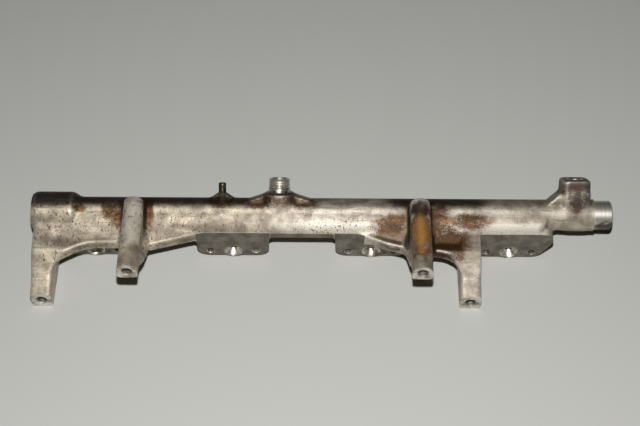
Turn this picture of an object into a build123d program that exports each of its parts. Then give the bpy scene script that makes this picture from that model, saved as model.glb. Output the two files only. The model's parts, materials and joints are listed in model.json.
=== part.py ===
"""Forged fuel rail for a four-cylinder engine, with flanged injector seats and four bolt legs.

Frame: X runs along the rail from its left end face, Z is up and the bolts leave towards -Y.
The origin is on the rail's axis, at the left end face. All sizes are in millimetres.
"""

import os

from build123d import *

# Rail tube
rail_length = 376.8
tube_radius = 10.0
bore_radius = 5.0
bore_end_wall = 9.0
collar_radius = 13.2
collar_length = 26.0
collar_taper = 5.0
collar_edge = 1.6
collar_port_radius = 8.2
collar_port_depth = 16.0
spigot_radius = 9.4
spigot_length = 11.4
spigot_edge = 0.8

# Front rib, which carries the pads and the webs
rib_front = 16.2
rib_top = 0.8
rib_bottom = -5.6
rib_root = 5.5
rib_crown = 8.2
rib_length = 334.0
rib_run_out = 6.0

# Injector pads
pad_count = 4
pad_pitch = 91.0
first_pad_x = 38.9
pad_half_width = 23.7
pad_back = 4.0
pad_foot_thickness = 12.5
pad_lower_edge = -25.5
pad_corner_radius = 8.0
seat_row_z = -20.5
seat_boss_radius = 7.0
seat_mouth_radius = 5.3
seat_cone_depth = 5.4
seat_throat_radius = 1.6
seat_throat_depth = 3.0
seat_ring_radius = 6.2
seat_ring_depth = 0.5
feed_radius = 1.5
pad_screw_offset = 15.0
pad_screw_radius = 2.3
pad_screw_depth = 9.0
pad_peg_offset = 8.6
pad_peg_drop = 1.8
pad_peg_radius = 1.0
pad_peg_depth = 4.0
outer_pad_reach = 27.5
outer_pad_cut = 8.0

# Bolt legs: the outer pair lies low, the inner pair runs over the tube
low_leg_x = (8.3, 284.2)
high_leg_x = (67.1, 251.3)
leg_reach = 55.3
leg_half_width = 6.7
leg_edge = 1.6
high_bolt_z = 14.5
high_boss_radius = 6.5
high_boss_back = -1.5
high_foot_drop = 6.8
high_arm_flare = 2.0
high_arm_flare_top = 3.0
low_foot_rise = 6.6
low_foot_drop = 6.9
low_leg_shoulder = 30.0
low_leg_knee = 44.0
low_leg_knee_rise = 11.0
low_boss_back = 2.0
bolt_hole_radius = 3.4
bolt_cut_back = 14.0

# Webs between the legs
web_bottom = -7.5
web_left_reach = 24.6
web_slope_reach = 27.0
web_slope_run = 39.5
web_right_reach = 24.6
web_gap_reach = 29.6
web_high_leg_reach = 34.0
web_low_leg_reach = 44.0
web_corner = 5.0

# Upper ports, leaning back
port_lean = 45.0
port_x = 160.5
port_reach = 23.0
port_thread_radius = 6.9
port_thread_length = 9.6
port_bore_radius = 3.2
port_cone_radius = 5.2
port_edge = 0.7
port_base_radius = 10.4
port_root_radius = 19.0
pin_x = 123.2
pin_reach = 20.0
pin_radius = 2.5
pin_shank_radius = 2.0
pin_seat_depth = 6.0
pin_edge = 1.0
pin_boss_radius = 3.3
pin_boss_height = 13.6
pin_boss_root_radius = 7.4
sensor_x = 352.9
sensor_reach = 24.0
sensor_half_width = 9.4
sensor_corner = 4.0
sensor_edge = 1.4
sensor_hole_radius = 4.4
sensor_hole_depth = 10.0
sensor_bulge_radius = 10.7
sensor_bulge_length = 24.0
sensor_bulge_taper = 9.0

# Worked-out places
pad_x = [first_pad_x + pad_pitch * index for index in range(pad_count)]
foot_bottom = seat_row_z - low_foot_drop
low_knee_z = seat_row_z + low_leg_knee_rise
bore_length = rail_length - bore_end_wall
spigot_start = rail_length - spigot_length
lean_up = Vector(0, 0, 1).rotate(Axis.X, -port_lean)
pin_seat = pin_boss_height - pin_seat_depth


def lean_plane(x, height):
    """The plane across a leaning port's axis at x, at a height along that axis."""
    return Plane(origin=(x, 0, 0), x_dir=(1, 0, 0), z_dir=lean_up).offset(height)


def front_plane(depth):
    """The plane that looks towards -Y, at a depth behind the pads' front faces."""
    return Plane.XZ.offset(rib_front - depth)


# Tube, collar, sensor bulge and spigot, turned about the rail's axis
bulge_start = sensor_x - sensor_bulge_length / 2
bulge_end = spigot_start - 1.0
with BuildPart() as tube:
    with BuildSketch(Plane.XY):
        with BuildLine():
            Polyline(
                (0, 0),
                (0, collar_radius - collar_edge),
                (collar_edge, collar_radius),
                (collar_length, collar_radius),
                (collar_length + collar_taper, tube_radius),
                (bulge_start, tube_radius),
                (bulge_start + sensor_bulge_taper, sensor_bulge_radius),
                (bulge_end - sensor_bulge_taper / 2, sensor_bulge_radius),
                (bulge_end, tube_radius),
                (spigot_start, tube_radius),
                (spigot_start, spigot_radius),
                (rail_length - spigot_edge, spigot_radius),
                (rail_length, spigot_radius - spigot_edge),
                (rail_length, 0),
                close=True,
            )
        make_face()
    revolve(axis=Axis.X)

# Front rib: a crowned lobe with a flat front face
with BuildPart() as rib:
    with BuildSketch(Plane.YZ):
        with BuildLine():
            crown = ThreePointArc(
                (-rib_root, rib_crown),
                (-(rib_root + rib_front) / 2, rib_crown * 0.75),
                (-rib_front, rib_top),
            )
            Polyline(
                crown @ 1,
                (-rib_front, rib_bottom),
                (-rib_root, -rib_crown),
                (0, -rib_crown),
                (0, rib_crown),
                crown @ 0,
            )
        make_face()
    extrude(amount=rib_length)
    with BuildSketch(Plane.XY):
        Polygon(
            (collar_edge, 0),
            (collar_edge, -rib_front),
            (rib_length - rib_run_out, -rib_front),
            (rib_length, -tube_radius),
            (rib_length, 0),
            align=None,
        )
    extrude(amount=2 * tube_radius, both=True, mode=Mode.INTERSECT)

# Left web: one plate from the left low leg to past the first high leg
left_root = low_leg_x[0] + leg_half_width
high_left = high_leg_x[0] - leg_half_width
high_right = high_leg_x[0] + leg_half_width
arch_end = (left_root + high_left) / 2 + web_corner
with BuildPart() as left_web:
    with BuildSketch(Plane.XY.offset(web_bottom)):
        with BuildLine():
            arch = Spline(
                (left_root, -web_low_leg_reach),
                ((left_root * 2 + arch_end) / 3, -(web_left_reach * 2 + web_low_leg_reach) / 3),
                (arch_end, -web_left_reach),
                tangents=((0, 1), (1, 0)),
            )
            Polyline(
                arch @ 1,
                (high_right, -web_left_reach),
                (high_right, -web_slope_reach),
                (high_right + web_slope_run, -rib_front),
                (high_right + web_slope_run, 0),
                (low_leg_x[0], 0),
                (low_leg_x[0], -web_low_leg_reach),
                arch @ 0,
            )
        make_face()
    extrude(amount=rib_top - web_bottom)

# Right web: one plate from before the second high leg to the right low leg
inner_left = high_leg_x[1] - leg_half_width
inner_right = high_leg_x[1] + leg_half_width
right_root = low_leg_x[1] - leg_half_width
slope_start = inner_left - web_slope_run + web_corner
with BuildPart() as right_web:
    with BuildSketch(Plane.XY.offset(web_bottom)):
        with BuildLine():
            inner_arch = Spline(
                (slope_start + web_corner * 4, -web_right_reach),
                (inner_left, -web_high_leg_reach),
                tangents=((1, -0.35), (0, -1)),
            )
            gap_arch = Spline(
                (inner_right, -web_gap_reach),
                (right_root, -web_low_leg_reach),
                tangents=((1, 0), (0.1, -1)),
            )
            Polyline(inner_arch @ 1, (inner_right, -web_high_leg_reach), gap_arch @ 0)
            Polyline(
                gap_arch @ 1,
                (low_leg_x[1] + leg_half_width, -web_low_leg_reach),
                (low_leg_x[1] + leg_half_width, 0),
                (slope_start, 0),
                (slope_start, -rib_front),
                inner_arch @ 0,
            )
        make_face()
    extrude(amount=rib_top - web_bottom)

# The webs' undersides fall away with the legs, so both are trimmed to a side profile
web_plates = []
for plate in (left_web, right_web):
    with BuildPart() as trimmed:
        add(plate.part)
        with BuildSketch(Plane.YZ):
            Polygon(
                (0, web_bottom),
                (0, rib_top),
                (-low_leg_shoulder, rib_top),
                (-low_leg_knee, low_knee_z),
                align=None,
            )
        extrude(amount=rail_length, mode=Mode.INTERSECT)
    web_plates.append(trimmed.part)

# Low legs: flat arms which drop from the rib to their feet
low_legs = []
for leg_x in low_leg_x:
    with BuildPart() as low_leg:
        with BuildSketch(Plane.YZ.offset(leg_x - leg_half_width)):
            Polygon(
                (low_boss_back, tube_radius * 0.8),
                (-rib_root, tube_radius * 0.8),
                (-rib_front, rib_top + 3),
                (-low_leg_shoulder, rib_top),
                (-low_leg_knee, low_knee_z),
                (-leg_reach, seat_row_z + low_foot_rise),
                (-leg_reach, foot_bottom),
                (low_boss_back, foot_bottom),
                align=None,
            )
        extrude(amount=2 * leg_half_width)
        tops = [
            edge
            for edge in low_leg.edges().filter_by(Plane.YZ)
            if edge.center().Z > seat_row_z + low_foot_rise - 0.01 and edge.center().Y > -leg_reach
        ]
        fillet(tops, leg_edge)
    low_legs.append(low_leg.part)

# High legs: round bolt bosses over the tube, each on a tapered arm
high_legs = []
for leg_x in high_leg_x:
    flare = high_boss_radius + high_arm_flare
    with BuildPart() as arm:
        with BuildSketch(Plane.XY.offset(web_bottom)):
            Polygon(
                (leg_x - high_boss_radius, 0),
                (leg_x - flare, -web_gap_reach / 2),
                (leg_x - flare, -web_gap_reach),
                (leg_x - high_boss_radius, -leg_reach),
                (leg_x + high_boss_radius, -leg_reach),
                (leg_x + flare, -web_gap_reach),
                (leg_x + flare, -web_gap_reach / 2),
                (leg_x + high_boss_radius, 0),
                align=None,
            )
        extrude(amount=high_arm_flare_top - web_bottom)
        with BuildSketch(Plane.XY.offset(high_arm_flare_top)):
            with Locations((leg_x, 0)):
                Rectangle(2 * high_boss_radius, leg_reach, align=(Align.CENTER, Align.MAX))
        extrude(amount=high_bolt_z - high_arm_flare_top)
        with BuildSketch(Plane.YZ.offset(leg_x)):
            Polygon(
                (high_boss_back, 0),
                (high_boss_back, high_bolt_z),
                (-leg_reach, high_bolt_z),
                (-leg_reach, high_bolt_z - high_foot_drop),
                (-leg_reach + 6, high_bolt_z - high_foot_drop),
                (-web_gap_reach, web_bottom),
                (-rib_root, web_bottom),
                align=None,
            )
        extrude(amount=3 * leg_half_width, both=True, mode=Mode.INTERSECT)
    with BuildPart() as high_leg:
        add(arm.part)
        with BuildSketch(Plane.XZ.offset(-high_boss_back)):
            with Locations((leg_x, high_bolt_z)):
                Circle(high_boss_radius)
        extrude(amount=leg_reach + high_boss_back)
    high_legs.append(high_leg.part)

# Injector pads: flanges with a round belly under each seat; the last one is wider and cut off aslant
pads = []
for seat_x in pad_x:
    last = seat_x == pad_x[-1]
    right_reach = outer_pad_reach if last else pad_half_width
    right_cut = outer_pad_cut if last else 0
    with BuildPart() as pad:
        with BuildSketch(front_plane(0)) as pad_face:
            Polygon(
                (seat_x - pad_half_width, rib_top),
                (seat_x - pad_half_width, pad_lower_edge),
                (seat_x + right_reach - right_cut, pad_lower_edge),
                (seat_x + right_reach, pad_lower_edge + 2 * right_cut),
                (seat_x + right_reach, rib_top),
                align=None,
            )
            lower_corners = pad_face.vertices().group_by(Axis.Z)[0]
            fillet(lower_corners, pad_corner_radius)
            with Locations((seat_x, seat_row_z)):
                Circle(seat_boss_radius)
        extrude(amount=-(rib_front + pad_back))
        with BuildSketch(Plane.YZ):
            Polygon(
                (-rib_front, rib_top),
                (-rib_front, seat_row_z - 2 * seat_boss_radius),
                (-rib_front + pad_foot_thickness, seat_row_z - 2 * seat_boss_radius),
                (-rib_front + pad_foot_thickness, seat_row_z),
                (pad_back, -tube_radius),
                (pad_back, rib_top),
                align=None,
            )
        extrude(amount=rail_length, mode=Mode.INTERSECT)
    pads.append(pad.part)

# Threaded port: a stub on a spread base
with BuildPart() as port:
    with BuildSketch(lean_plane(port_x, 0)):
        Ellipse(port_root_radius, port_base_radius)
    with BuildSketch(lean_plane(port_x, port_reach - port_thread_length)):
        Circle(port_base_radius)
    loft()
    with BuildSketch(lean_plane(port_x, 0)):
        Circle(port_thread_radius)
    extrude(amount=port_reach)
    chamfer(port.faces().filter_by(Plane(origin=(0, 0, 0), z_dir=lean_up)).sort_by(Axis.Z)[-1].edges(), port_edge)

# Pin boss: a small cone
with BuildPart() as pin_boss:
    with BuildSketch(lean_plane(pin_x, 0)):
        Circle(pin_boss_root_radius * 1.6)
    with BuildSketch(lean_plane(pin_x, pin_boss_height)):
        Circle(pin_boss_radius)
    loft()

# Sensor boss: a square block with round corners
with BuildPart() as sensor_boss:
    with BuildSketch(lean_plane(sensor_x, 0)):
        RectangleRounded(2 * sensor_half_width, 2 * sensor_half_width, sensor_corner)
    extrude(amount=sensor_reach)
    top_face = sensor_boss.faces().filter_by(Plane(origin=(0, 0, 0), z_dir=lean_up)).sort_by(Axis.Z)[-1]
    fillet(top_face.edges(), sensor_edge)

# The forging, then its machined bores, seats and holes
with BuildPart() as rail_body:
    add(tube.part)
    add(rib.part)
    for solid in web_plates + low_legs + high_legs + pads:
        add(solid)
    add(port.part)
    add(pin_boss.part)
    add(sensor_boss.part)

    # Main bore, drilled from the collar, with its stepped port
    with Locations(Plane.YZ):
        Cylinder(bore_radius, bore_length, align=(Align.CENTER, Align.CENTER, Align.MIN), mode=Mode.SUBTRACT)
        Cylinder(
            collar_port_radius,
            collar_port_depth,
            align=(Align.CENTER, Align.CENTER, Align.MIN),
            mode=Mode.SUBTRACT,
        )

    # Bolt holes along the legs
    low = [(leg_x, seat_row_z) for leg_x in low_leg_x]
    high = [(leg_x, high_bolt_z) for leg_x in high_leg_x]
    with BuildSketch(Plane.XZ.offset(leg_reach)):
        with Locations(*low, *high):
            Circle(bolt_hole_radius)
    extrude(amount=-(leg_reach + bolt_cut_back), mode=Mode.SUBTRACT)

    # Injector seats: a shallow ring, a cone and a throat, then a slanted feed to the main bore
    for seat_x in pad_x:
        with Locations(Plane(origin=(seat_x, -rib_front, seat_row_z), x_dir=(1, 0, 0), z_dir=(0, 1, 0))):
            Cylinder(
                seat_ring_radius,
                seat_ring_depth,
                align=(Align.CENTER, Align.CENTER, Align.MIN),
                mode=Mode.SUBTRACT,
            )
            Cone(
                seat_mouth_radius,
                seat_throat_radius,
                seat_cone_depth,
                align=(Align.CENTER, Align.CENTER, Align.MIN),
                mode=Mode.SUBTRACT,
            )
            Cylinder(
                seat_throat_radius,
                seat_cone_depth + seat_throat_depth,
                align=(Align.CENTER, Align.CENTER, Align.MIN),
                mode=Mode.SUBTRACT,
            )
            with Locations((-pad_screw_offset, 0), (pad_screw_offset, 0)):
                Cylinder(
                    pad_screw_radius,
                    pad_screw_depth,
                    align=(Align.CENTER, Align.CENTER, Align.MIN),
                    mode=Mode.SUBTRACT,
                )
            with Locations((pad_peg_offset, pad_peg_drop)):
                Cylinder(
                    pad_peg_radius,
                    pad_peg_depth,
                    align=(Align.CENTER, Align.CENTER, Align.MIN),
                    mode=Mode.SUBTRACT,
                )
        feed_y = -rib_front + seat_cone_depth + seat_throat_depth - feed_radius
        feed_run = Vector(0, 0, 0) - Vector(0, feed_y, seat_row_z)
        with Locations(Plane(origin=(seat_x, feed_y, seat_row_z), x_dir=(1, 0, 0), z_dir=feed_run)):
            Cylinder(
                feed_radius,
                feed_run.length,
                align=(Align.CENTER, Align.CENTER, Align.MIN),
                mode=Mode.SUBTRACT,
            )

    # Bores of the upper ports
    with Locations(lean_plane(port_x, 0)):
        Cylinder(
            port_bore_radius,
            port_reach,
            align=(Align.CENTER, Align.CENTER, Align.MIN),
            mode=Mode.SUBTRACT,
        )
    with Locations(lean_plane(port_x, port_reach - port_cone_radius + port_bore_radius)):
        Cone(
            port_bore_radius,
            port_cone_radius,
            port_cone_radius - port_bore_radius,
            align=(Align.CENTER, Align.CENTER, Align.MIN),
            mode=Mode.SUBTRACT,
        )
    with Locations(lean_plane(sensor_x, 0)):
        Cylinder(
            feed_radius,
            sensor_reach,
            align=(Align.CENTER, Align.CENTER, Align.MIN),
            mode=Mode.SUBTRACT,
        )
    with Locations(lean_plane(sensor_x, sensor_reach - sensor_hole_depth)):
        Cylinder(
            sensor_hole_radius,
            sensor_hole_depth,
            align=(Align.CENTER, Align.CENTER, Align.MIN),
            mode=Mode.SUBTRACT,
        )
    with Locations(lean_plane(pin_x, pin_seat)):
        Cylinder(
            pin_shank_radius,
            pin_reach,
            align=(Align.CENTER, Align.CENTER, Align.MIN),
            mode=Mode.SUBTRACT,
        )

# Locating pin: its shank is pressed into the boss and its head rests on the boss's face
with BuildPart() as locating_pin:
    with BuildSketch(lean_plane(pin_x, pin_seat)):
        Circle(pin_shank_radius)
    extrude(amount=pin_seat_depth)
    with BuildSketch(lean_plane(pin_x, pin_boss_height)):
        Circle(pin_radius)
    extrude(amount=pin_reach - pin_boss_height)
    fillet(locating_pin.faces().sort_by(Axis.Z)[-1].edges(), pin_edge)

rail_body.part.label = "rail_body"
locating_pin.part.label = "locating_pin"
os.makedirs("parts", exist_ok=True)
export_step(rail_body.part, "parts/rail_body.step")
export_step(locating_pin.part, "parts/locating_pin.step")
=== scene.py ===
"""Finish and stage for a forged engine fuel rail, laid out as an add-on and run as a script."""

import json
import math

import bmesh
import bpy
from mathutils import Matrix, Vector


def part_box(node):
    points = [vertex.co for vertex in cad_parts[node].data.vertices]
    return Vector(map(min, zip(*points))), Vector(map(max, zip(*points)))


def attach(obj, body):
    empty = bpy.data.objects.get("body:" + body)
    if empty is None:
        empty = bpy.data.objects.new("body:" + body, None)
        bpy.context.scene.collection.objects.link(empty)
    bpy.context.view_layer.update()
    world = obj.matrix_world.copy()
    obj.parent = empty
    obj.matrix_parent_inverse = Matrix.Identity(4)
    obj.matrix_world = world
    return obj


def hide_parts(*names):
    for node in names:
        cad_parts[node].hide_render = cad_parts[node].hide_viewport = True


bl_info = {
    "name": "Fuel rail finish",
    "version": (1, 0, 0),
    "blender": (4, 5, 0),
    "location": "View3D > Sidebar > Fuel rail",
    "description": "Dresses a packed fuel rail as a forging with machined seats, ports and heat stains",
    "category": "Object",
}

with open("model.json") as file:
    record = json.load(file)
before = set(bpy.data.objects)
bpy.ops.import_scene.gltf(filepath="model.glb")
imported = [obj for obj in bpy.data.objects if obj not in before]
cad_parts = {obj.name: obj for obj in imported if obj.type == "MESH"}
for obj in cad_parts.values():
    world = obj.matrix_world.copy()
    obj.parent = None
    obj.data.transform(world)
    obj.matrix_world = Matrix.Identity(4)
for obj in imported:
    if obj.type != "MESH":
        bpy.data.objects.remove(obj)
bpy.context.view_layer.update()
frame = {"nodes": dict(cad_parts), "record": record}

MM = 0.001
MOUNTS = {mount["name"]: mount for mount in frame["record"]["mounts"]}
RAIL_LOW, RAIL_HIGH = (Vector(corner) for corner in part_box("rail_body"))
LEAN_UP = Vector(MOUNTS["threaded_port"]["axis"]).normalized()
FRONT = Vector((0, -1, 0))
RIGHT = Vector((1, 0, 0))
TUBE_START = Vector((0, 0, 0))


def mount_place(name):
    """A mount's point in the row frame, in metres."""
    return Vector(MOUNTS[name]["pos_m"])


def mount_radius(name):
    """A round mount's radius, in metres."""
    return MOUNTS[name]["dims"]["r_mm"] * MM


# Colours and nodes


def linear(hex_colour):
    """An sRGB hex colour as linear RGBA."""
    channels = [int(hex_colour[i : i + 2], 16) / 255 for i in (1, 3, 5)]
    bent = [c / 12.92 if c <= 0.04045 else ((c + 0.055) / 1.055) ** 2.4 for c in channels]
    return (*bent, 1.0)


def add_node(tree, kind, links=None, **settings):
    """Adds a node, sets its properties and inputs by name, and links inputs to sockets."""
    node = tree.nodes.new(kind)
    for key, value in settings.items():
        if hasattr(node, key):
            setattr(node, key, value)
        else:
            node.inputs[key.replace("_", " ")].default_value = value
    for key, socket in (links or {}).items():
        tree.links.new(socket, node.inputs[key])
    return node


def new_material(name):
    """A material, its tree, its bare Principled shader and the object's coordinates."""
    material = bpy.data.materials.new(name)
    material.use_nodes = True
    tree = material.node_tree
    shader = tree.nodes["Principled BSDF"]
    place = add_node(tree, "ShaderNodeTexCoord").outputs["Object"]
    return material, tree, shader, place


def maths(tree, operation, first, second):
    """Two values, or a value and a number, put through one Math operation."""
    node = add_node(tree, "ShaderNodeMath", {0: first}, operation=operation)
    if isinstance(second, (int, float)):
        node.inputs[1].default_value = second
    else:
        tree.links.new(second, node.inputs[1])
    return node.outputs[0]


def times(tree, first, second):
    """The product of two values, or of a value and a number."""
    return maths(tree, "MULTIPLY", first, second)


def moved(tree, operation, place, vector):
    """Coordinates put through one Vector Math operation with a fixed vector."""
    node = add_node(tree, "ShaderNodeVectorMath", {0: place}, operation=operation)
    node.inputs[1].default_value = vector
    return node.outputs["Vector"]


def along_way(tree, place, way):
    """How far coordinates lie along a direction, in metres."""
    node = add_node(tree, "ShaderNodeVectorMath", {0: place}, operation="DOT_PRODUCT")
    node.inputs[1].default_value = way
    return node.outputs["Value"]


def noise(tree, place, feature_mm, detail=4.0, roughness=0.6, offset=0.0):
    """Noise whose features are about the given size in millimetres."""
    scale = 1.0 / (feature_mm * MM)
    start = moved(tree, "ADD", place, (offset, offset, offset))
    grain = add_node(tree, "ShaderNodeTexNoise", {"Vector": start}, Scale=scale, Detail=detail)
    grain.inputs["Roughness"].default_value = roughness
    return grain.outputs["Fac"]


def spread(tree, value, low, high, to_low=0.0, to_high=1.0):
    """A value stretched from one range to another, smoothly and within limits."""
    stretch = add_node(tree, "ShaderNodeMapRange", {"Value": value}, interpolation_type="SMOOTHSTEP")
    stretch.inputs["From Min"].default_value = low
    stretch.inputs["From Max"].default_value = high
    stretch.inputs["To Min"].default_value = to_low
    stretch.inputs["To Max"].default_value = to_high
    return stretch.outputs[0]


def band(tree, value, low_mm, high_mm, edge_mm):
    """1 between two places in millimetres, falling to 0 over an edge outside each."""
    rise = spread(tree, value, (low_mm - edge_mm) * MM, low_mm * MM)
    fall = spread(tree, value, high_mm * MM, (high_mm + edge_mm) * MM, 1.0, 0.0)
    return times(tree, rise, fall)


def blend_colour(tree, amount, under, over, strength=1.0):
    """One colour over another by an amount and a strength; each is a hex string or a socket."""
    if strength != 1.0:
        amount = times(tree, amount, strength)
    mix = add_node(tree, "ShaderNodeMix", data_type="RGBA")
    tree.links.new(amount, mix.inputs["Factor"])
    for socket, colour in ((mix.inputs[6], under), (mix.inputs[7], over)):
        if isinstance(colour, str):
            socket.default_value = linear(colour)
        else:
            tree.links.new(colour, socket)
    return mix.outputs[2]


def widest(tree, masks):
    """The greatest of several masks."""
    whole = masks[0]
    for mask in masks[1:]:
        whole = maths(tree, "MAXIMUM", whole, mask)
    return whole


def stains(tree, place, spots, ragged):
    """A mask that is 1 inside soft ellipsoids with ragged edges; a spot is (x, y, z, rx, ry, rz) in mm."""
    masks = []
    for x, y, z, rx, ry, rz in spots:
        away = moved(tree, "SUBTRACT", place, (x * MM, y * MM, z * MM))
        scaled = moved(tree, "MULTIPLY", away, (1 / (rx * MM), 1 / (ry * MM), 1 / (rz * MM)))
        reach = add_node(tree, "ShaderNodeVectorMath", {0: scaled}, operation="LENGTH").outputs["Value"]
        torn = maths(tree, "ADD", reach, ragged)
        masks.append(spread(tree, torn, 1.15, 0.55))
    return widest(tree, masks)


def bump(tree, height, strength, depth_mm, normal=None):
    """A bump from a height, its depth in millimetres."""
    node = add_node(tree, "ShaderNodeBump", {"Height": height}, Strength=strength)
    node.inputs["Distance"].default_value = depth_mm * MM
    if normal is not None:
        tree.links.new(normal, node.inputs["Normal"])
    return node.outputs["Normal"]


# Materials

# Where heat has stained the forging: centre x, y, z and half sizes, in mm
HEAT_BROWN = (
    # both sides of the second leg
    (51, -5, 8, 7, 6, 6),
    (57, -9, 6, 7, 9, 8),
    (76, -6, 6, 4, 13, 12),
    (31, -4, 11, 5, 3, 4),
    # roots of the port and of the pin's boss
    (148, 2, 12, 12, 7, 7),
    (176, 2, 12, 11, 7, 7),
    (161, 5, 13, 14, 8, 8),
    (123, 4, 10, 10, 7, 6),
    # the third leg, both its sides and the web to the fourth
    (232, -12, 5, 12, 9, 6),
    (263, -10, 5, 10, 16, 10),
    (251, -27, 17, 8, 24, 12),
    (270, -24, 1, 16, 16, 8),
    (284, -11, 7, 15, 6, 6),
)
HEAT_DARK_AND_FLANK_SHADE = (
    # both sides of the second leg: dark film, and a painted shade on its flanks where a round leg turns away
    (60, -3, 8, 4, 9, 7),
    (74, -2, 5, 4, 16, 14),
    # the third leg's top, both its sides and the web to the fourth
    (243, -12, 4, 5, 22, 12),
    (259, -12, 4, 5, 24, 12),
    (251, -10, 19, 9, 7, 6),
    (264, -28, 0, 9, 12, 8),
    (276, -26, -2, 6, 9, 8),
    (284, -8, 8, 10, 3, 3),
    (234, -18, 2, 14, 10, 10),
    (270, -19, 2, 8, 7, 6),
    (266, -5, 10, 7, 4, 3),
)
HEAT_AMBER = ((251, -28, 19, 6, 16, 7),)
SMOKE = (
    # streaks along the tube
    (92, -17, 1, 26, 7, 9),
    (35, -24, 0, 26, 8, 6),
    (140, -11, 8, 26, 3, 4),
    (122, -14, 4, 28, 5, 6),
    # the sensor boss's foot and the second leg's top
    (353, -6, 9, 8, 6, 6),
    (67, -1, 20, 9, 7, 6),
    # lower halves of the legs
    (73, -46, 16, 6, 10, 9),
    (251, -50, 16, 10, 11, 10),
    (284, -26, 2, 10, 20, 9),
)
BURNT = ((353, 14, 20, 15, 16, 16), (353, 1, 12, 5, 8, 7))
SPECK_SPOTS = ((45, -16, 0, 85, 40, 30), (120, -10, 0, 40, 12, 10), (196, -10, 0, 50, 9, 8))
# Brown film along the top of the tube, with a weaker painted shade between its spans: its spans, the
# direction it faces and the height where it thins out
CROWN_SPANS = ((0.0, 136.0), (240.0, 286.0))
CROWN_EDGE = 14
CROWN_WAY = Vector((0, 0.64, 0.77))
CROWN_LOW = 4.4 * MM
CROWN_HIGH = 8.6 * MM
TUBE_TOP = 13.0 * MM
ABOVE_TUBE = 14.6 * MM
# Where the bare steel changes from warm to clean and from clean to worn, along the tube
WARM_TO_CLEAN = (120 * MM, 190 * MM)
CLEAN_TO_WORN = (212 * MM, 240 * MM)
# Painted highlights and painted shade as (low, high, edge) in mm: the painted highlight on the rib's rim and
# on the high legs' crests, the painted shade on the rib's front
RIM_Y = (-17.2, -12.5, 2.2)
RIM_Z = (0.6, 5.5, 2.0)
RIM_START = (150 * MM, 185 * MM)
CREST_Y = (-30.0, 0.0, 12.0)
CREST_Z = (18.0, 30.0, 4.0)
RIB_FRONT_Y = (-16.8, -15.6, 0.6)
RIB_FRONT_Z = (-9.0, -1.0, 1.6)


def crown_film_and_shade(tree, place, axes, ragged):
    """A mask along the top of the tube: fuel baked on over some spans of its length, and a weaker painted
    shade along the rest.
    """
    height = along_way(tree, place, CROWN_WAY)
    torn = maths(tree, "ADD", height, times(tree, ragged, -2.2 * MM))
    high = spread(tree, torn, CROWN_LOW, CROWN_HIGH)
    on_tube = spread(tree, axes["Z"], TUBE_TOP, ABOVE_TUBE, 1.0, 0.0)
    spans = widest(tree, [band(tree, axes["X"], start, end, CROWN_EDGE) for start, end in CROWN_SPANS])
    lengthwise = spread(tree, spans, 0.0, 1.0, 0.45, 1.0)
    return times(tree, times(tree, high, on_tube), lengthwise)


def bare_skin(tree, place, axes, cloud, ragged):
    """The forging's skin before heat: cloudy steel, with a painted highlight on the rib's rim and the high
    legs' crests, a painted shade on the rib's front, and specks and pits.
    """
    look = bpy.context.scene.rail_finish
    warm = spread(tree, axes["X"], *WARM_TO_CLEAN, 0.75, 0.0)
    worn = spread(tree, axes["X"], *CLEAN_TO_WORN, 0.0, 0.6)
    clean = blend_colour(tree, worn, blend_colour(tree, warm, look.steel, look.steel_warm), look.steel_worn)
    streaks = noise(tree, moved(tree, "MULTIPLY", place, (0.12, 1, 1)), 2.2, 3.0, 0.6, 0.53)
    dull = widest(tree, [spread(tree, cloud, 0.35, 0.68), spread(tree, streaks, 0.52, 0.66, 0.0, 0.8)])
    skin = blend_colour(tree, dull, clean, look.steel_dull)

    # Painted highlight on the rib's rounded rim and on the high legs' crests
    rim = times(tree, band(tree, axes["Y"], *RIM_Y), band(tree, axes["Z"], *RIM_Z))
    rim = times(tree, rim, spread(tree, axes["X"], *RIM_START, 0.0, 0.75))
    crest = times(tree, band(tree, axes["Z"], *CREST_Z), band(tree, axes["Y"], *CREST_Y))
    painted_highlight = widest(tree, [rim, times(tree, crest, 0.5)])
    skin = blend_colour(tree, painted_highlight, skin, look.painted_highlight_steel)
    # Painted shade on the rib's front face, under the tube
    rib_front_shade = times(tree, band(tree, axes["Y"], *RIB_FRONT_Y), band(tree, axes["Z"], *RIB_FRONT_Z))
    skin = blend_colour(tree, rib_front_shade, skin, look.pit_and_rib_shade, 0.7)

    pits = spread(tree, noise(tree, place, 0.8, 2.0, 0.5, 0.37), 0.62, 0.70)
    pit_area = spread(tree, noise(tree, place, 14.0, 2.0, 0.5, 0.71), 0.42, 0.62)
    skin = blend_colour(tree, times(tree, pits, pit_area), skin, look.pit_and_rib_shade)
    drawn = moved(tree, "MULTIPLY", place, (1.0, 0.6, 0.6))
    specks = spread(tree, noise(tree, drawn, 1.3, 3.0, 0.6, 0.37), 0.572, 0.64)
    specked = times(tree, specks, stains(tree, place, SPECK_SPOTS, ragged))
    return blend_colour(tree, specked, skin, look.pit_and_rib_shade)


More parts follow.
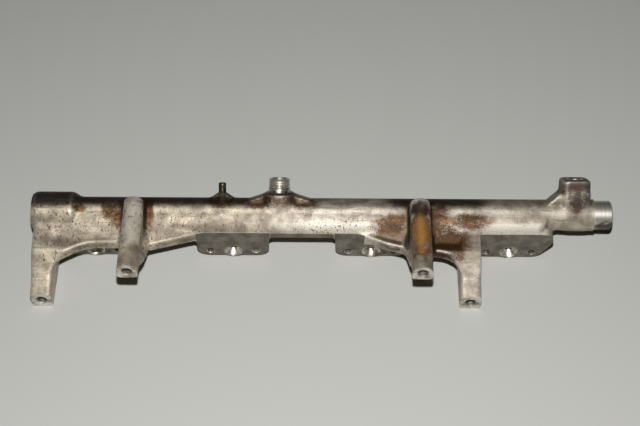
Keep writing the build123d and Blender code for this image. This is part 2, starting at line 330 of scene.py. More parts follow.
def baked_fuel(tree, place, axes, skin, ragged):
    """Fuel baked on over a skin: smoke, then gold to brown, amber, the crown's film with its painted shade,
    dark film with painted shade on the second leg's flanks, and burnt film; gives its mask too.
    """
    look = bpy.context.scene.rail_finish
    brown = stains(tree, place, HEAT_BROWN, ragged)
    dark = stains(tree, place, HEAT_DARK_AND_FLANK_SHADE, ragged)
    burnt = stains(tree, place, BURNT, ragged)
    crown = crown_film_and_shade(tree, place, axes, ragged)
    film = blend_colour(tree, spread(tree, ragged, -0.36, 0.16), look.varnish_gold, look.varnish_brown)
    broken = spread(tree, noise(tree, place, 1.6, 4.0, 0.7, 0.91), 0.34, 0.50, 0.70, 0.97)
    colour = blend_colour(tree, stains(tree, place, SMOKE, ragged), skin, look.smoke, 0.5)
    colour = blend_colour(tree, times(tree, brown, broken), colour, film)
    colour = blend_colour(tree, stains(tree, place, HEAT_AMBER, ragged), colour, look.varnish_amber, 0.85)
    # Brown film on the tube's top over its spans, and painted shade along the rest of its top
    colour = blend_colour(tree, crown, colour, look.crown_varnish_and_shade, 0.88)
    # Dark film, with painted shade on the second leg's flanks
    colour = blend_colour(tree, dark, colour, look.dark_varnish_and_painted_shade, 0.80)
    colour = blend_colour(tree, burnt, colour, look.varnish_burnt, 0.85)
    return colour, widest(tree, [brown, dark, crown, burnt])


def forged_steel():
    """Steel forging, pressed hot in dies and shot-blasted: dull silver with a sandy grain, dark pits,
    painted shade in its hollows, painted highlights on its convex edges, and brown fuel varnish that heat
    has baked on round the legs and ports."""
    look = bpy.context.scene.rail_finish
    material, tree, shader, place = new_material("blasted_steel_forging")
    axes = add_node(tree, "ShaderNodeSeparateXYZ", {"Vector": place}).outputs
    grain = noise(tree, place, 0.9, 3.0)
    cloud = noise(tree, place, 9.0, 4.0, 0.55)
    sand = noise(tree, place, 0.55, 2.0, 0.6, 0.77)
    flakes = noise(tree, place, 5.0, 5.0, 0.7, 0.13)
    torn = times(tree, maths(tree, "SUBTRACT", flakes, 0.5), 1.7)
    sandy = times(tree, maths(tree, "SUBTRACT", sand, 0.5), 1.3)
    ragged = maths(tree, "ADD", torn, sandy)
    skin = bare_skin(tree, place, axes, cloud, ragged)
    colour, filmed = baked_fuel(tree, place, axes, skin, ragged)
    pointed = add_node(tree, "ShaderNodeNewGeometry").outputs["Pointiness"]
    # Painted shade in the hollows and painted highlights on the convex edges, both from the mesh's
    # pointiness
    colour = blend_colour(tree, spread(tree, pointed, 0.495, 0.470, 0.0, 0.45), colour, look.dark_varnish_and_painted_shade)
    colour = blend_colour(tree, spread(tree, pointed, 0.505, 0.535, 0.0, 0.40), colour, look.painted_highlight_steel)
    colour = blend_colour(tree, spread(tree, sand, 0.46, 0.66, 0.0, 0.42), colour, look.pit_and_rib_shade)
    tree.links.new(colour, shader.inputs["Base Color"])
    tree.links.new(spread(tree, filmed, 0.0, 1.0, 0.35, 0.85), shader.inputs["Metallic"])
    tree.links.new(spread(tree, grain, 0.2, 0.8, 0.58, 0.48), shader.inputs["Roughness"])
    blasted = bump(tree, grain, 0.55, 0.16)
    tree.links.new(bump(tree, cloud, 0.5, 0.45, blasted), shader.inputs["Normal"])
    return material


def machined_steel(name, roughness, metal):
    """Machined steel, faced, drilled or reamed: bright, with fine tool marks that soften its glint."""
    look = bpy.context.scene.rail_finish
    material, tree, shader, place = new_material(name)
    marks = noise(tree, place, 0.5, 2.0)
    cloud = noise(tree, place, 6.0, 3.0)
    colour = blend_colour(tree, spread(tree, cloud, 0.35, 0.7), look.machined, look.steel_dull)
    tree.links.new(colour, shader.inputs["Base Color"])
    shader.inputs["Metallic"].default_value = metal
    rough = spread(tree, marks, 0.3, 0.7, roughness - 0.06, roughness + 0.06)
    tree.links.new(rough, shader.inputs["Roughness"])
    tree.links.new(bump(tree, marks, 0.3, 0.03), shader.inputs["Normal"])
    return material


def pad_steel():
    """Milled steel, cut by a face mill and dulled by heat: an even grey, darker than the turned faces."""
    look = bpy.context.scene.rail_finish
    material, tree, shader, place = new_material("milled_steel")
    cloud = noise(tree, place, 7.0, 4.0)
    marks = noise(tree, place, 0.7, 2.0)
    colour = blend_colour(tree, spread(tree, cloud, 0.3, 0.7), look.milled, look.milled_dark)
    tree.links.new(colour, shader.inputs["Base Color"])
    shader.inputs["Metallic"].default_value = 0.8
    tree.links.new(spread(tree, marks, 0.3, 0.7, 0.40, 0.52), shader.inputs["Roughness"])
    tree.links.new(bump(tree, marks, 0.35, 0.05), shader.inputs["Normal"])
    return material


def turned_steel(name, axis, film_centre, film_reach):
    """Turned steel, cut on a lathe: bright rings about its axis, with brown varnish over one place."""
    look = bpy.context.scene.rail_finish
    material, tree, shader, place = new_material(name)
    flakes = noise(tree, place, 3.0, 4.0, 0.7, 0.31)
    ragged = times(tree, maths(tree, "SUBTRACT", flakes, 0.5), 1.6)
    film = stains(tree, place, [(*(film_centre / MM), *film_reach)], ragged)
    depth = add_node(tree, "ShaderNodeCombineXYZ", {"X": along_way(tree, place, axis)}).outputs[0]
    rings = noise(tree, depth, 0.6, 2.0)
    bright = blend_colour(tree, spread(tree, rings, 0.4, 0.75), look.machined, look.steel_dull)
    tree.links.new(blend_colour(tree, film, bright, look.varnish_brown, 0.88), shader.inputs["Base Color"])
    shader.inputs["Metallic"].default_value = 0.9
    tree.links.new(spread(tree, rings, 0.3, 0.7, 0.36, 0.48), shader.inputs["Roughness"])
    tree.links.new(bump(tree, rings, 0.25, 0.03), shader.inputs["Normal"])
    return material


def pin_steel():
    """Hardened pin steel, ground round: a smooth shine under an olive-brown film of baked fuel."""
    look = bpy.context.scene.rail_finish
    material, tree, shader, place = new_material("ground_pin_steel")
    cloud = noise(tree, place, 2.0, 4.0)
    colour = blend_colour(tree, spread(tree, cloud, 0.35, 0.65), look.pin, look.dark_varnish_and_painted_shade)
    tree.links.new(colour, shader.inputs["Base Color"])
    shader.inputs["Metallic"].default_value = 1.0
    tree.links.new(spread(tree, cloud, 0.3, 0.7, 0.28, 0.42), shader.inputs["Roughness"])
    tree.links.new(bump(tree, cloud, 0.3, 0.04), shader.inputs["Normal"])
    return material


def painted_board():
    """Painted board, rolled on in matt grey: an even surface that takes soft shadows and no glint."""
    material, _, shader, _ = new_material("painted_board")
    shader.inputs["Base Color"].default_value = linear(bpy.context.scene.rail_finish.floor)
    shader.inputs["Roughness"].default_value = 0.85
    return material


# Meshes

TURN_STEPS = 64
CREASE_ANGLE = math.radians(38.0)


def solid_object(name, mesh, *materials):
    """An object for a mesh, linked to the scene, with its materials."""
    piece = bpy.data.objects.new(name, mesh)
    bpy.context.scene.collection.objects.link(piece)
    for material in materials:
        mesh.materials.append(material)
    return piece


def turned(bm, profile, origin, axis, steps=TURN_STEPS, ring=False, slot=0):
    """Adds a solid of revolution: (along, radius) pairs in mm, from axis to axis, or closed for a ring."""
    turn = axis.to_track_quat("Z", "Y").to_matrix().to_4x4()
    place = Matrix.Translation(origin) @ turn
    angles = [2 * math.pi * step / steps for step in range(steps)]
    rings = []
    for along, radius in profile:
        if radius == 0:
            rings.append([bm.verts.new(place @ Vector((0, 0, along * MM)))])
            continue
        points = [Vector((math.cos(a) * radius * MM, math.sin(a) * radius * MM, along * MM)) for a in angles]
        rings.append([bm.verts.new(place @ point) for point in points])
    for low, high in zip(rings, rings[1:] + rings[:1] if ring else rings[1:]):
        for step in range(steps):
            after = (step + 1) % steps
            near = (low[step % len(low)], low[after % len(low)])
            far = (high[after % len(high)], high[step % len(high)])
            corners = list(dict.fromkeys((*near, *far)))
            if len(corners) > 2:
                bm.faces.new(corners).material_index = slot


def boxed(bm, low, high):
    """Adds a box from its two corners, in mm."""
    centre = (Vector(low) + Vector(high)) / 2 * MM
    size = (Vector(high) - Vector(low)) * MM
    bmesh.ops.create_cube(bm, size=1, matrix=Matrix.Translation(centre) @ Matrix.Diagonal((*size, 1)))


def join_sections(bm, sections):
    """Closes a solid through outlines that have the same number of corners."""
    for before, after in zip(sections, sections[1:]):
        for index in range(len(before)):
            following = (index + 1) % len(before)
            bm.faces.new((before[index], before[following], after[following], after[index]))
    bm.faces.new(sections[0])
    bm.faces.new(sections[-1])


def finished_mesh(name, bm):
    """A mesh from a bmesh, with its normals turned outward."""
    bmesh.ops.recalc_face_normals(bm, faces=bm.faces)
    mesh = bpy.data.meshes.new(name)
    bm.to_mesh(mesh)
    bm.free()
    return mesh


def crease(mesh):
    """Shades a mesh smooth, apart from its edges that turn by more than the crease angle."""
    bm = bmesh.new()
    bm.from_mesh(mesh)
    for face in bm.faces:
        face.smooth = True
    for edge in bm.edges:
        edge.smooth = len(edge.link_faces) == 2 and edge.calc_face_angle(0) < CREASE_ANGLE
    bm.to_mesh(mesh)
    bm.free()


def apply_modifiers(piece):
    """Replaces a piece's mesh by what its modifiers make of it."""
    graph = bpy.context.evaluated_depsgraph_get()
    graph.update()
    made = bpy.data.meshes.new_from_object(piece.evaluated_get(graph))
    piece.modifiers.clear()
    old = piece.data
    piece.data = made
    made.name = piece.name
    bpy.data.meshes.remove(old)


def cut(piece, cutter_mesh, *materials):
    """Cuts closed solids out of a piece; the cut faces take the cutter's materials."""
    cutter = solid_object("cutter", cutter_mesh, *materials)
    knife = piece.modifiers.new("cut", "BOOLEAN")
    knife.operation = "DIFFERENCE"
    knife.solver = "EXACT"
    knife.material_mode = "TRANSFER"
    knife.object = cutter
    apply_modifiers(piece)
    bpy.data.objects.remove(cutter)
    bpy.data.meshes.remove(cutter_mesh)


# Pieces: sizes and places in mm, apart from the first three, which are in metres

FACE_TOLERANCE = 2e-5
PAD_FACE_Y = mount_place("pad_1_screws").y
LEG_END_Y = mount_place("left_bolt").y
PAD_MOUNTS = sorted(name for name in MOUNTS if name.startswith("pad_") and name.endswith("_screws"))
BOLTS = ("left_bolt", "second_bolt", "third_bolt", "right_bolt")
MACHINED_STOCK = 2.5
END_STOCK = 1.4
# Holes are filled a little oversize before the remesh, and cut again from a little outside
PLUG_GAP = 0.05
CUT_AHEAD = 1.0
# What facing takes away: at a leg's end, half its width, its depth, and its reach below and above the bolt;
# at the collar's end, the corners of the box
FACING_HALF = 10
FACING_DEPTH = 6
FACING_BELOW = 9
FACING_ABOVE = 10
COLLAR_FACING = ((-6, -20, -20), (0, 20, 20))

# Wedges between the tube and the webs' and rib's rims: (x, reach) stations, crest (y, z) and foot z
RAMPS = (
    (((14.0, 22.5), (60.0, 22.5), (75.0, 24.5), (112.0, 16.2)), (-4.5, 8.4), 0.7),
    (((217.0, 16.2), (244.0, 24.0), (278.0, 24.0), (290.0, 17.0)), (-4.5, 8.4), 0.7),
    (((108.0, 16.1), (330.0, 16.1)), (-8.5, 7.1), 1.2),
)
RAMP_DEPTH = 2
# Spread roots of the port, the pin and the sensor boss: x and half length at the foot, x and half length
# on top, foot and top heights, half width
SADDLES = (
    (161.0, 24.0, 160.5, 9.0, 8.0, 13.0, 6.5),
    (123.0, 10.5, 123.2, 3.5, 8.0, 12.6, 4.0),
    (347.0, 12.0, 350.5, 7.5, 8.5, 15.5, 7.5),
)

# Milled faces: left end, right end and where the web starts. The milling ends under the web, and left of
# the web it reaches up to the rib's round edge
MILLED_SPANS = (
    (15.4, 59.5, 15.4),
    (106.6, 154.3, 154.3),
    (196.5, 245.3, 216.0),
    (291.4, 340.2, 340.2),
)
UNDER_WEB = -8.4
ABOVE_RIB = 0.4
STOCK_TOP = -1.0
MILLED_BELOW = 4
MILLED_AHEAD = 2

SEAT_PROFILE = ((-1.0, 0), (-1.0, 6.2), (0.5, 6.2), (0.5, 5.2), (5.4, 1.6), (8.4, 1.6), (8.4, 0))
SCREW_PROFILE = ((-1.0, 0), (-1.0, 2.7), (0.0, 2.7), (0.4, 2.3), (9.0, 2.3), (10.0, 0))
PEG_PROFILE = ((-1.0, 0), (-1.0, 1.0), (4.0, 1.0), (4.5, 0))
PEG_PLACE = Vector((8.6, 0, -1.8))
BOLT_RUN_OUT = 12
BOLT_CHAMFER = 0.6

RAIL_LENGTH = RAIL_HIGH.x / MM
MAIN_BORE_RADIUS = 5
MAIN_BORE_WALL = 9
COLLAR_CHAMFER = 1.0
COLLAR_CONE = 3
SENSOR_CHAMFER = 0.8
SENSOR_SOCKET = 10
SENSOR_CONE_END = 12.5
SENSOR_PASSAGE_RADIUS = 1.5
SENSOR_PASSAGE_END = 22

SPIGOT_START = RAIL_LENGTH - 11.4
SPIGOT_RADIUS = mount_radius("spigot") / MM
SPIGOT_CHAMFER = 0.8
SPIGOT_CUT_END = RAIL_LENGTH + 6
SPIGOT_STOCK_RADIUS = 10.5
SPIGOT_STOCK_START = SPIGOT_START - 0.5
SPIGOT_STOCK_END = RAIL_LENGTH + 3
SPIGOT_STOCK = (
    (SPIGOT_STOCK_START, 0),
    (SPIGOT_STOCK_START, SPIGOT_STOCK_RADIUS),
    (SPIGOT_STOCK_END, SPIGOT_STOCK_RADIUS),
    (SPIGOT_STOCK_END, 0),
)

PIN_STOCK = ((-10, 0), (-10, 2.55), (-2.9, 2.55), (-2.9, 0))
PORT_ROOT = Vector((mount_place("threaded_port").x, 0, 0))
PORT_REACH = 23.0
PORT_STOCK = ((0, 0), (0, 8.2), (PORT_REACH + 2, 8.2), (PORT_REACH + 2, 0))
PORT_CUT_END = PORT_REACH + 5
PORT_NECK = 14.2
NECK_RELIEF = 0.2
NECK_END = PORT_NECK + 2.2
PORT_CHAMFER = 0.8
CHAMFER_START = PORT_REACH - 0.9
CHAMFER_RELIEF = 0.1
PORT_HOLLOW = ((1, 0), (1, 5.6), (0, 5.2), (-3.5, 3.2), (-23, 3.2), (-23, 0))
THREAD_PITCH = 1.5
THREAD_DEPTH = 0.65
THREAD_COUNT = 4
THREAD_START = PORT_NECK + 2.4
# From a turn's start: where its crest begins and ends, and where its flank reaches the root
THREAD_CREST = (0.55, 0.8)
THREAD_FLANK_END = 1.35
# Radius that turning takes away to
TURNED_AWAY = 16

# Film on the turned faces: its centre in metres and its reach in mm
SPIGOT_FILM = Vector((RAIL_HIGH.x, -0.010, -0.001))
SPIGOT_FILM_REACH = (18, 8, 6)
PORT_FILM = PORT_ROOT + LEAN_UP * 8.0 * MM
PORT_FILM_REACH = (12, 12, 12)


def ramp(bm, stations, crest, foot):
    """Adds a wedge from a crest on the tube to a rim: stations are (x, reach) pairs."""
    sections = []
    for x, reach in stations:
        corners = (crest, (-reach, foot), (-reach, foot - RAMP_DEPTH), (crest[0], foot - RAMP_DEPTH))
        sections.append([bm.verts.new(Vector((x, y, z)) * MM) for y, z in corners])
    join_sections(bm, sections)


def saddle(bm, foot_x, foot_half, top_x, top_half, foot, top, half_width):
    """Adds the spread root of a leaning port: a block along the tube, narrower on top."""
    across = LEAN_UP.cross(RIGHT)
    sections = []
    for x, half, height in ((foot_x, foot_half, foot), (top_x, top_half, top)):
        corners = ((-half, -half_width), (half, -half_width), (half, half_width), (-half, half_width))
        points = [RIGHT * (x + along) + LEAN_UP * height + across * side for along, side in corners]
        sections.append([bm.verts.new(point * MM) for point in points])
    join_sections(bm, sections)


def tube_bore(bm, plug):
    """Adds the stepped bore that runs from the collar's end through the tube."""
    grow = PLUG_GAP if plug else 0.0
    start = 0.0 if plug else -CUT_AHEAD
    lip = 0.0 if plug else COLLAR_CHAMFER
    port = mount_radius("collar_port") / MM + grow
    depth = MOUNTS["collar_port"]["dims"]["length_mm"]
    bore = MAIN_BORE_RADIUS + grow
    end = RAIL_LENGTH - MAIN_BORE_WALL
    profile = (
        (start, 0),
        (start, port + lip),
        (lip * 0.2, port + lip),
        (COLLAR_CHAMFER, port),
        (depth, port),
        (depth + COLLAR_CONE, bore),
        (end, bore),
        (end, 0),
    )
    turned(bm, profile, TUBE_START, RIGHT)


def bolt_bore(bm, name, plug):
    """Adds a leg's bolt hole, with a chamfer at its mouth."""
    radius = mount_radius(name) / MM + (PLUG_GAP if plug else 0.0)
    ahead = MACHINED_STOCK if plug else CUT_AHEAD
    chamfer = 0.0 if plug else BOLT_CHAMFER
    end = MOUNTS[name]["dims"]["length_mm"] + (0 if plug else BOLT_RUN_OUT)
    profile = (
        (-ahead, 0),
        (-ahead, radius + chamfer),
        (0, radius + chamfer),
        (chamfer, radius),
        (end, radius),
        (end, 0),
    )
    turned(bm, profile, mount_place(name), -FRONT, 32, slot=1)


def pad_bores(bm, name, plug):
    """Adds a pad's injector seat, its two screw holes and its peg hole."""
    ahead = MACHINED_STOCK if plug else CUT_AHEAD
    grow = PLUG_GAP if plug else 0.0
    seat = mount_place(name)
    aside = RIGHT * (MOUNTS[name]["dims"]["spacing_x_mm"] / 2 * MM)
    for spot, profile, steps, slot in (
        (seat, SEAT_PROFILE, 48, 0),
        (seat + aside, SCREW_PROFILE, 24, 1),
        (seat - aside, SCREW_PROFILE, 24, 1),
        (seat + PEG_PLACE * MM, PEG_PROFILE, 16, 1),
    ):
        grown = [(-ahead if along < 0 else along, radius and radius + grow) for along, radius in profile]
        turned(bm, grown, spot, -FRONT, steps, slot=slot)


def sensor_bore(bm, plug):
    """Adds the sensor's socket, its cone and the passage down to the main bore."""
    start = 0.0 if plug else -CUT_AHEAD
    rim = 0.0 if plug else SENSOR_CHAMFER
    hole = mount_radius("sensor_port") / MM + (PLUG_GAP if plug else 0.0)
    profile = (
        (start, 0),
        (start, hole + rim),
        (0, hole + rim),
        (rim, hole),
        (SENSOR_SOCKET, hole),
        (SENSOR_CONE_END, SENSOR_PASSAGE_RADIUS),
        (SENSOR_PASSAGE_END, SENSOR_PASSAGE_RADIUS),
        (SENSOR_PASSAGE_END, 0),
    )
    turned(bm, profile, mount_place("sensor_port"), -LEAN_UP, 40)


def bored_solids(bm, plug):
    """Adds the bores as closed solids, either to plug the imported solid's holes or to cut them again."""
    tube_bore(bm, plug)
    for name in BOLTS:
        bolt_bore(bm, name, plug)
    for name in PAD_MOUNTS:
        pad_bores(bm, name, plug)
    if not plug:
        turned(bm, PORT_HOLLOW, PORT_ROOT + LEAN_UP * PORT_REACH * MM, LEAN_UP, 48)
    sensor_bore(bm, plug)


def milled(point):
    """Whether a point of the pads' plane, in mm, is on a milled face."""
    return point.z < STOCK_TOP and any(left < point.x < right for left, right, _ in MILLED_SPANS)


def split_at_milling(bm):
    """Splits the faces along the milled faces' edges."""
    parts = bm.verts[:] + bm.edges[:] + bm.faces[:]
    for x in (span[side] for span in MILLED_SPANS for side in (0, 1)):
        made = bmesh.ops.bisect_plane(bm, geom=parts, plane_co=Vector((x * MM, 0, 0)), plane_no=RIGHT)
        parts = made["geom"]
    level = Vector((0, 0, STOCK_TOP * MM))
    bmesh.ops.bisect_plane(bm, geom=parts, plane_co=level, plane_no=Vector((0, 0, 1)))


def leave_stock(bm, facing, level, stock):
    """Moves the flat faces at a level out by their stock; on the pads, only those that are milled."""
    flat = []
    for face in bm.faces:
        centre = face.calc_center_median()
        if face.normal.dot(facing) > 0.999 and abs(centre.dot(facing) - level) < FACE_TOLERANCE:
            if level != -PAD_FACE_Y or milled(centre / MM):
                flat.append(face)
    grown = bmesh.ops.extrude_face_region(bm, geom=flat)
    corners = [part for part in grown["geom"] if isinstance(part, bmesh.types.BMVert)]
    bmesh.ops.translate(bm, verts=corners, vec=facing * stock * MM)
    bmesh.ops.delete(bm, geom=flat, context="FACES_ONLY")


def rail_stock():
    """The forging with its holes filled and stock left on the faces that are machined later."""
    bm = bmesh.new()
    bm.from_mesh(frame["nodes"]["rail_body"].data)
    bmesh.ops.remove_doubles(bm, verts=bm.verts, dist=1e-7)
    split_at_milling(bm)
    leave_stock(bm, FRONT, -PAD_FACE_Y, MACHINED_STOCK)
    leave_stock(bm, FRONT, -LEG_END_Y, MACHINED_STOCK)
    leave_stock(bm, -RIGHT, 0, END_STOCK)
    for stations, crest, foot in RAMPS:
        ramp(bm, stations, crest, foot)
    for sizes in SADDLES:
        saddle(bm, *sizes)
    bored_solids(bm, True)
    turned(bm, PIN_STOCK, mount_place("pin"), LEAN_UP, 24)
    turned(bm, PORT_STOCK, PORT_ROOT, LEAN_UP, 32)
    turned(bm, SPIGOT_STOCK, TUBE_START, RIGHT, 48)
    return finished_mesh("rail_stock", bm)


def pad_cuts():
    """The blocks that milling takes away in front of the pads, under the webs and up to the rib's edge."""
    bm = bmesh.new()
    face = PAD_FACE_Y / MM
    front = face - MACHINED_STOCK - MILLED_AHEAD
    low = RAIL_LOW.z / MM - MILLED_BELOW
    for left, right, step in MILLED_SPANS:
        outline = [(left, low), (right, low)]
        if step < right:
            outline += [(right, UNDER_WEB), (step, UNDER_WEB)]
        if step > left:
            outline += [(step, ABOVE_RIB), (left, ABOVE_RIB)]
        sections = [[bm.verts.new(Vector((x, y, z)) * MM) for x, z in outline] for y in (front, face)]
        join_sections(bm, sections)
    return finished_mesh("pad_cuts", bm)


def end_cuts():
    """The boxes that facing takes away at the legs' ends and the collar's end."""
    bm = bmesh.new()
    leg = LEG_END_Y / MM
    for name in BOLTS:
        centre = mount_place(name) / MM
        low = (centre.x - FACING_HALF, leg - FACING_DEPTH, centre.z - FACING_BELOW)
        high = (centre.x + FACING_HALF, leg, centre.z + FACING_ABOVE)
        boxed(bm, low, high)
    boxed(bm, *COLLAR_FACING)
    return finished_mesh("end_cuts", bm)


def spigot_cut():
    """The ring that turning takes away round the spigot, with its chamfered end."""
    bm = bmesh.new()
    profile = (
        (SPIGOT_START, TURNED_AWAY),
        (SPIGOT_START, SPIGOT_RADIUS),
        (RAIL_LENGTH - SPIGOT_CHAMFER, SPIGOT_RADIUS),
        (RAIL_LENGTH, SPIGOT_RADIUS - SPIGOT_CHAMFER),
        (RAIL_LENGTH, 0),
        (SPIGOT_CUT_END, 0),
        (SPIGOT_CUT_END, TURNED_AWAY),
    )
    turned(bm, profile, TUBE_START, RIGHT, ring=True)
    return finished_mesh("spigot_cut", bm)


def port_cut():
    """The ring that turning takes away round the port: its neck, thread rings and chamfer."""
    bm = bmesh.new()
    crest = mount_radius("threaded_port") / MM
    root = crest - THREAD_DEPTH
    profile = [(PORT_NECK, TURNED_AWAY), (PORT_NECK, crest - NECK_RELIEF), (NECK_END, root)]
    for turn in range(THREAD_COUNT):
        start = THREAD_START + turn * THREAD_PITCH
        profile += [(start + ridge, crest) for ridge in THREAD_CREST]
        profile += [(start + THREAD_FLANK_END, root)]
    profile += [
        (CHAMFER_START, crest - CHAMFER_RELIEF),
        (PORT_REACH, crest - PORT_CHAMFER),
        (PORT_REACH, 0),
        (PORT_CUT_END, 0),
        (PORT_CUT_END, TURNED_AWAY),
    ]
    turned(bm, profile, PORT_ROOT, LEAN_UP, ring=True)
    return finished_mesh("port_cut", bm)


# Stage

CAMERA_TARGET = Vector((0.187, 0, 0.0003))
CAMERA_ELEVATION = math.radians(55.0)
CAMERA_DISTANCE = 0.8188
CAMERA_ROLL = math.radians(0.37)
CAMERA_SENSOR_WIDTH = 36.0
WIDTH_AT_TARGET = 0.4192
FLOOR_HALF = 2.5
KEY_ABOVE_CAMERA = 0.105
KEY_RADIUS = 0.014
WORLD_GREY = 0.30


def floor_board():
    """The floor under the rail's lowest point."""
    bm = bmesh.new()
    bmesh.ops.create_grid(bm, x_segments=1, y_segments=1, size=FLOOR_HALF)
    bmesh.ops.translate(bm, verts=bm.verts, vec=Vector((RAIL_HIGH.x / 2, 0, RAIL_LOW.z)))
    return solid_object("floor", finished_mesh("floor", bm), painted_board())


def front_camera(scene):
    """A camera that looks down on the rail's front; gives its place and its up direction."""
    toward = Vector((0, -math.cos(CAMERA_ELEVATION), math.sin(CAMERA_ELEVATION)))
    turn = toward.to_track_quat("Z", "Y").to_matrix() @ Matrix.Rotation(CAMERA_ROLL, 3, "Z")
    data = bpy.data.cameras.new("camera")
    data.sensor_width = CAMERA_SENSOR_WIDTH
    data.lens = CAMERA_SENSOR_WIDTH * CAMERA_DISTANCE / WIDTH_AT_TARGET
    camera = bpy.data.objects.new("camera", data)
    scene.collection.objects.link(camera)
    camera.matrix_world = Matrix.Translation(CAMERA_TARGET + toward * CAMERA_DISTANCE) @ turn.to_4x4()
    scene.camera = camera
    return camera.location, turn @ Vector((0, 1, 0))


def key_light(scene, place):
    """A small bright lamp."""
    data = bpy.data.lights.new("key", "POINT")
    data.shadow_soft_size = KEY_RADIUS
    data.energy = scene.rail_finish.key_power
    lamp = bpy.data.objects.new("key", data)
    scene.collection.objects.link(lamp)
    lamp.location = place


def dim_world(scene):
    """A dim, even grey all round."""
    world = bpy.data.worlds.new("world")
    world.use_nodes = True
    background = world.node_tree.nodes["Background"]
    background.inputs["Color"].default_value = (WORLD_GREY, WORLD_GREY, WORLD_GREY, 1)
    background.inputs["Strength"].default_value = scene.rail_finish.world_strength
    scene.world = world


# Add-on


class RAIL_PG_finish(bpy.types.PropertyGroup):
    """Sizes and colours of the rail's finish. Colours are sRGB hex strings."""

    grain_size: bpy.props.FloatProperty(
        name="Mesh size", description="Spacing of the forging's mesh", default=0.85 * MM, unit="LENGTH"
    )
    blend_steps: bpy.props.IntProperty(
        name="Blend steps", description="How far the forging's corners are rounded", default=14, min=0
    )
    steel: bpy.props.StringProperty(
        name="Steel", description="Clean forged steel, as hex", default="#d0c7b7"
    )
    steel_dull: bpy.props.StringProperty(
        name="Dull steel", description="Duller patches, as hex", default="#8c8172"
    )
    # Colour of the painted highlights: the rib's rim, the high legs' crests and the forging's convex edges
    painted_highlight_steel: bpy.props.StringProperty(
        name="Bright steel", description="Rubbed edges, as hex", default="#ddd6c8"
    )
    steel_worn: bpy.props.StringProperty(
        name="Worn steel", description="Steel at the spigot, as hex", default="#aea491"
    )
    steel_warm: bpy.props.StringProperty(
        name="Warm steel", description="Steel at the collar, as hex", default="#cabca1"
    )
    # Also the colour of the painted shade on the rib's front under the tube
    pit_and_rib_shade: bpy.props.StringProperty(
        name="Pits", description="Dark pits in the skin, as hex", default="#4a3b2d"
    )
    machined: bpy.props.StringProperty(
        name="Machined steel", description="Turned faces, as hex", default="#e6e2d8"
    )
    milled: bpy.props.StringProperty(
        name="Milled steel", description="Pad faces, as hex", default="#8c857a"
    )
    milled_dark: bpy.props.StringProperty(
        name="Milled steel, dark", description="Darker part of the pad faces, as hex", default="#665f55"
    )
    smoke: bpy.props.StringProperty(
        name="Smoke", description="Thin grey-brown film, as hex", default="#5f4f3c"
    )
    varnish_amber: bpy.props.StringProperty(
        name="Amber varnish", description="Clear film, as hex", default="#f0ae5c"
    )
    varnish_gold: bpy.props.StringProperty(
        name="Gold varnish", description="Thin film, as hex", default="#6e4a22"
    )
    varnish_brown: bpy.props.StringProperty(
        name="Brown varnish", description="Thick film, as hex", default="#301b0c"
    )
    # Also the colour of the painted shade in the forging's hollows and on the second leg's flanks
    dark_varnish_and_painted_shade: bpy.props.StringProperty(
        name="Dark varnish", description="Burnt film, as hex", default="#3d2817"
    )
    # Also the colour of the painted shade along the tube's top
    crown_varnish_and_shade: bpy.props.StringProperty(
        name="Crown varnish", description="Film on top of the tube, as hex", default="#2a1f17"
    )
    varnish_burnt: bpy.props.StringProperty(
        name="Burnt boss", description="Purple-brown film, as hex", default="#35221e"
    )
    pin: bpy.props.StringProperty(
        name="Pin", description="The pin's film, as hex", default="#8d8465"
    )
    floor: bpy.props.StringProperty(
        name="Floor", description="The floor's colour, as hex", default="#b8b8b3"
    )
    key_power: bpy.props.FloatProperty(
        name="Lamp", description="Power of the lamp over the camera", default=30.0, unit="POWER"
    )
    world_strength: bpy.props.FloatProperty(
        name="World", description="Strength of the grey all round", default=0.025, precision=4
    )


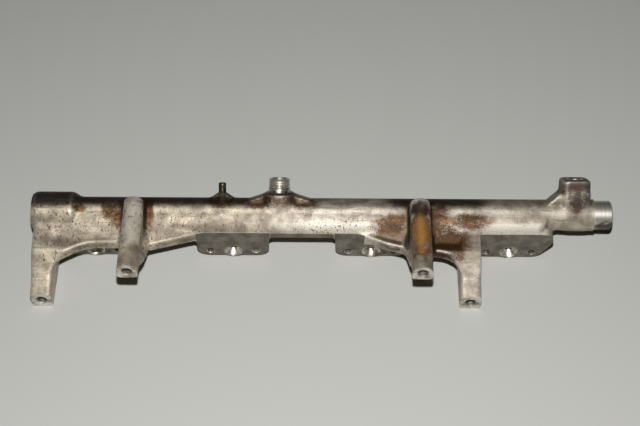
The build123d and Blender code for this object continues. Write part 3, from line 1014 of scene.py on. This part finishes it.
class RAIL_OT_forging(bpy.types.Operator):
    """Makes the forging with its machined faces and holes"""

    bl_idname = "rail.forging"
    bl_label = "Forging"

    def execute(self, context):
        look = context.scene.rail_finish
        piece = solid_object("rail_forging", rail_stock(), forged_steel())
        remesh = piece.modifiers.new("skin", "REMESH")
        remesh.mode = "VOXEL"
        remesh.voxel_size = look.grain_size
        smooth = piece.modifiers.new("blend", "SMOOTH")
        smooth.factor = 0.5
        smooth.iterations = look.blend_steps
        apply_modifiers(piece)
        faced = machined_steel("faced_steel", 0.48, 0.7)
        drilled = machined_steel("drilled_steel", 0.50, 1.0)
        reamed = machined_steel("reamed_seat_steel", 0.44, 1.0)
        cut(piece, pad_cuts(), pad_steel())
        cut(piece, end_cuts(), faced)
        cut(piece, spigot_cut(), turned_steel("turned_spigot", RIGHT, SPIGOT_FILM, SPIGOT_FILM_REACH))
        cut(piece, port_cut(), turned_steel("turned_thread", LEAN_UP, PORT_FILM, PORT_FILM_REACH))
        bores = bmesh.new()
        bored_solids(bores, False)
        cut(piece, finished_mesh("bores", bores), reamed, drilled)
        crease(piece.data)
        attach(piece, "root")
        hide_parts("rail_body")
        return {"FINISHED"}


class RAIL_OT_pin(bpy.types.Operator):
    """Finishes the locating pin"""

    bl_idname = "rail.pin"
    bl_label = "Locating pin"

    def execute(self, context):
        node = frame["nodes"]["locating_pin"]
        node.data.materials.clear()
        node.data.materials.append(pin_steel())
        return {"FINISHED"}


class RAIL_OT_stage(bpy.types.Operator):
    """Makes the floor, the lamp, the world and the camera"""

    bl_idname = "rail.stage"
    bl_label = "Stage"

    def execute(self, context):
        scene = context.scene
        floor = floor_board()
        place, up = front_camera(scene)
        key_light(scene, place + up * KEY_ABOVE_CAMERA)
        dim_world(scene)
        scene.view_settings.view_transform = "Standard"
        return {"FINISHED"}


class RAIL_PT_panel(bpy.types.Panel):
    """Lists the rail's pieces and finish"""

    bl_label = "Fuel rail"
    bl_idname = "RAIL_PT_panel"
    bl_space_type = "VIEW_3D"
    bl_region_type = "UI"
    bl_category = "Fuel rail"

    def draw(self, context):
        for operator in OPERATORS:
            self.layout.operator(operator.bl_idname)
        for name in RAIL_PG_finish.__annotations__:
            self.layout.prop(context.scene.rail_finish, name)


OPERATORS = (RAIL_OT_forging, RAIL_OT_pin, RAIL_OT_stage)
CLASSES = (RAIL_PG_finish, *OPERATORS, RAIL_PT_panel)


def register():
    """Registers the classes and hangs the finish on the scene."""
    for each in CLASSES:
        bpy.utils.register_class(each)
    bpy.types.Scene.rail_finish = bpy.props.PointerProperty(type=RAIL_PG_finish)


def unregister():
    """Takes away what register added."""
    del bpy.types.Scene.rail_finish
    for each in reversed(CLASSES):
        bpy.utils.unregister_class(each)


def main():
    register()
    bpy.ops.rail.stage()
    bpy.ops.rail.forging()
    bpy.ops.rail.pin()


if __name__ == "__main__":
    main()
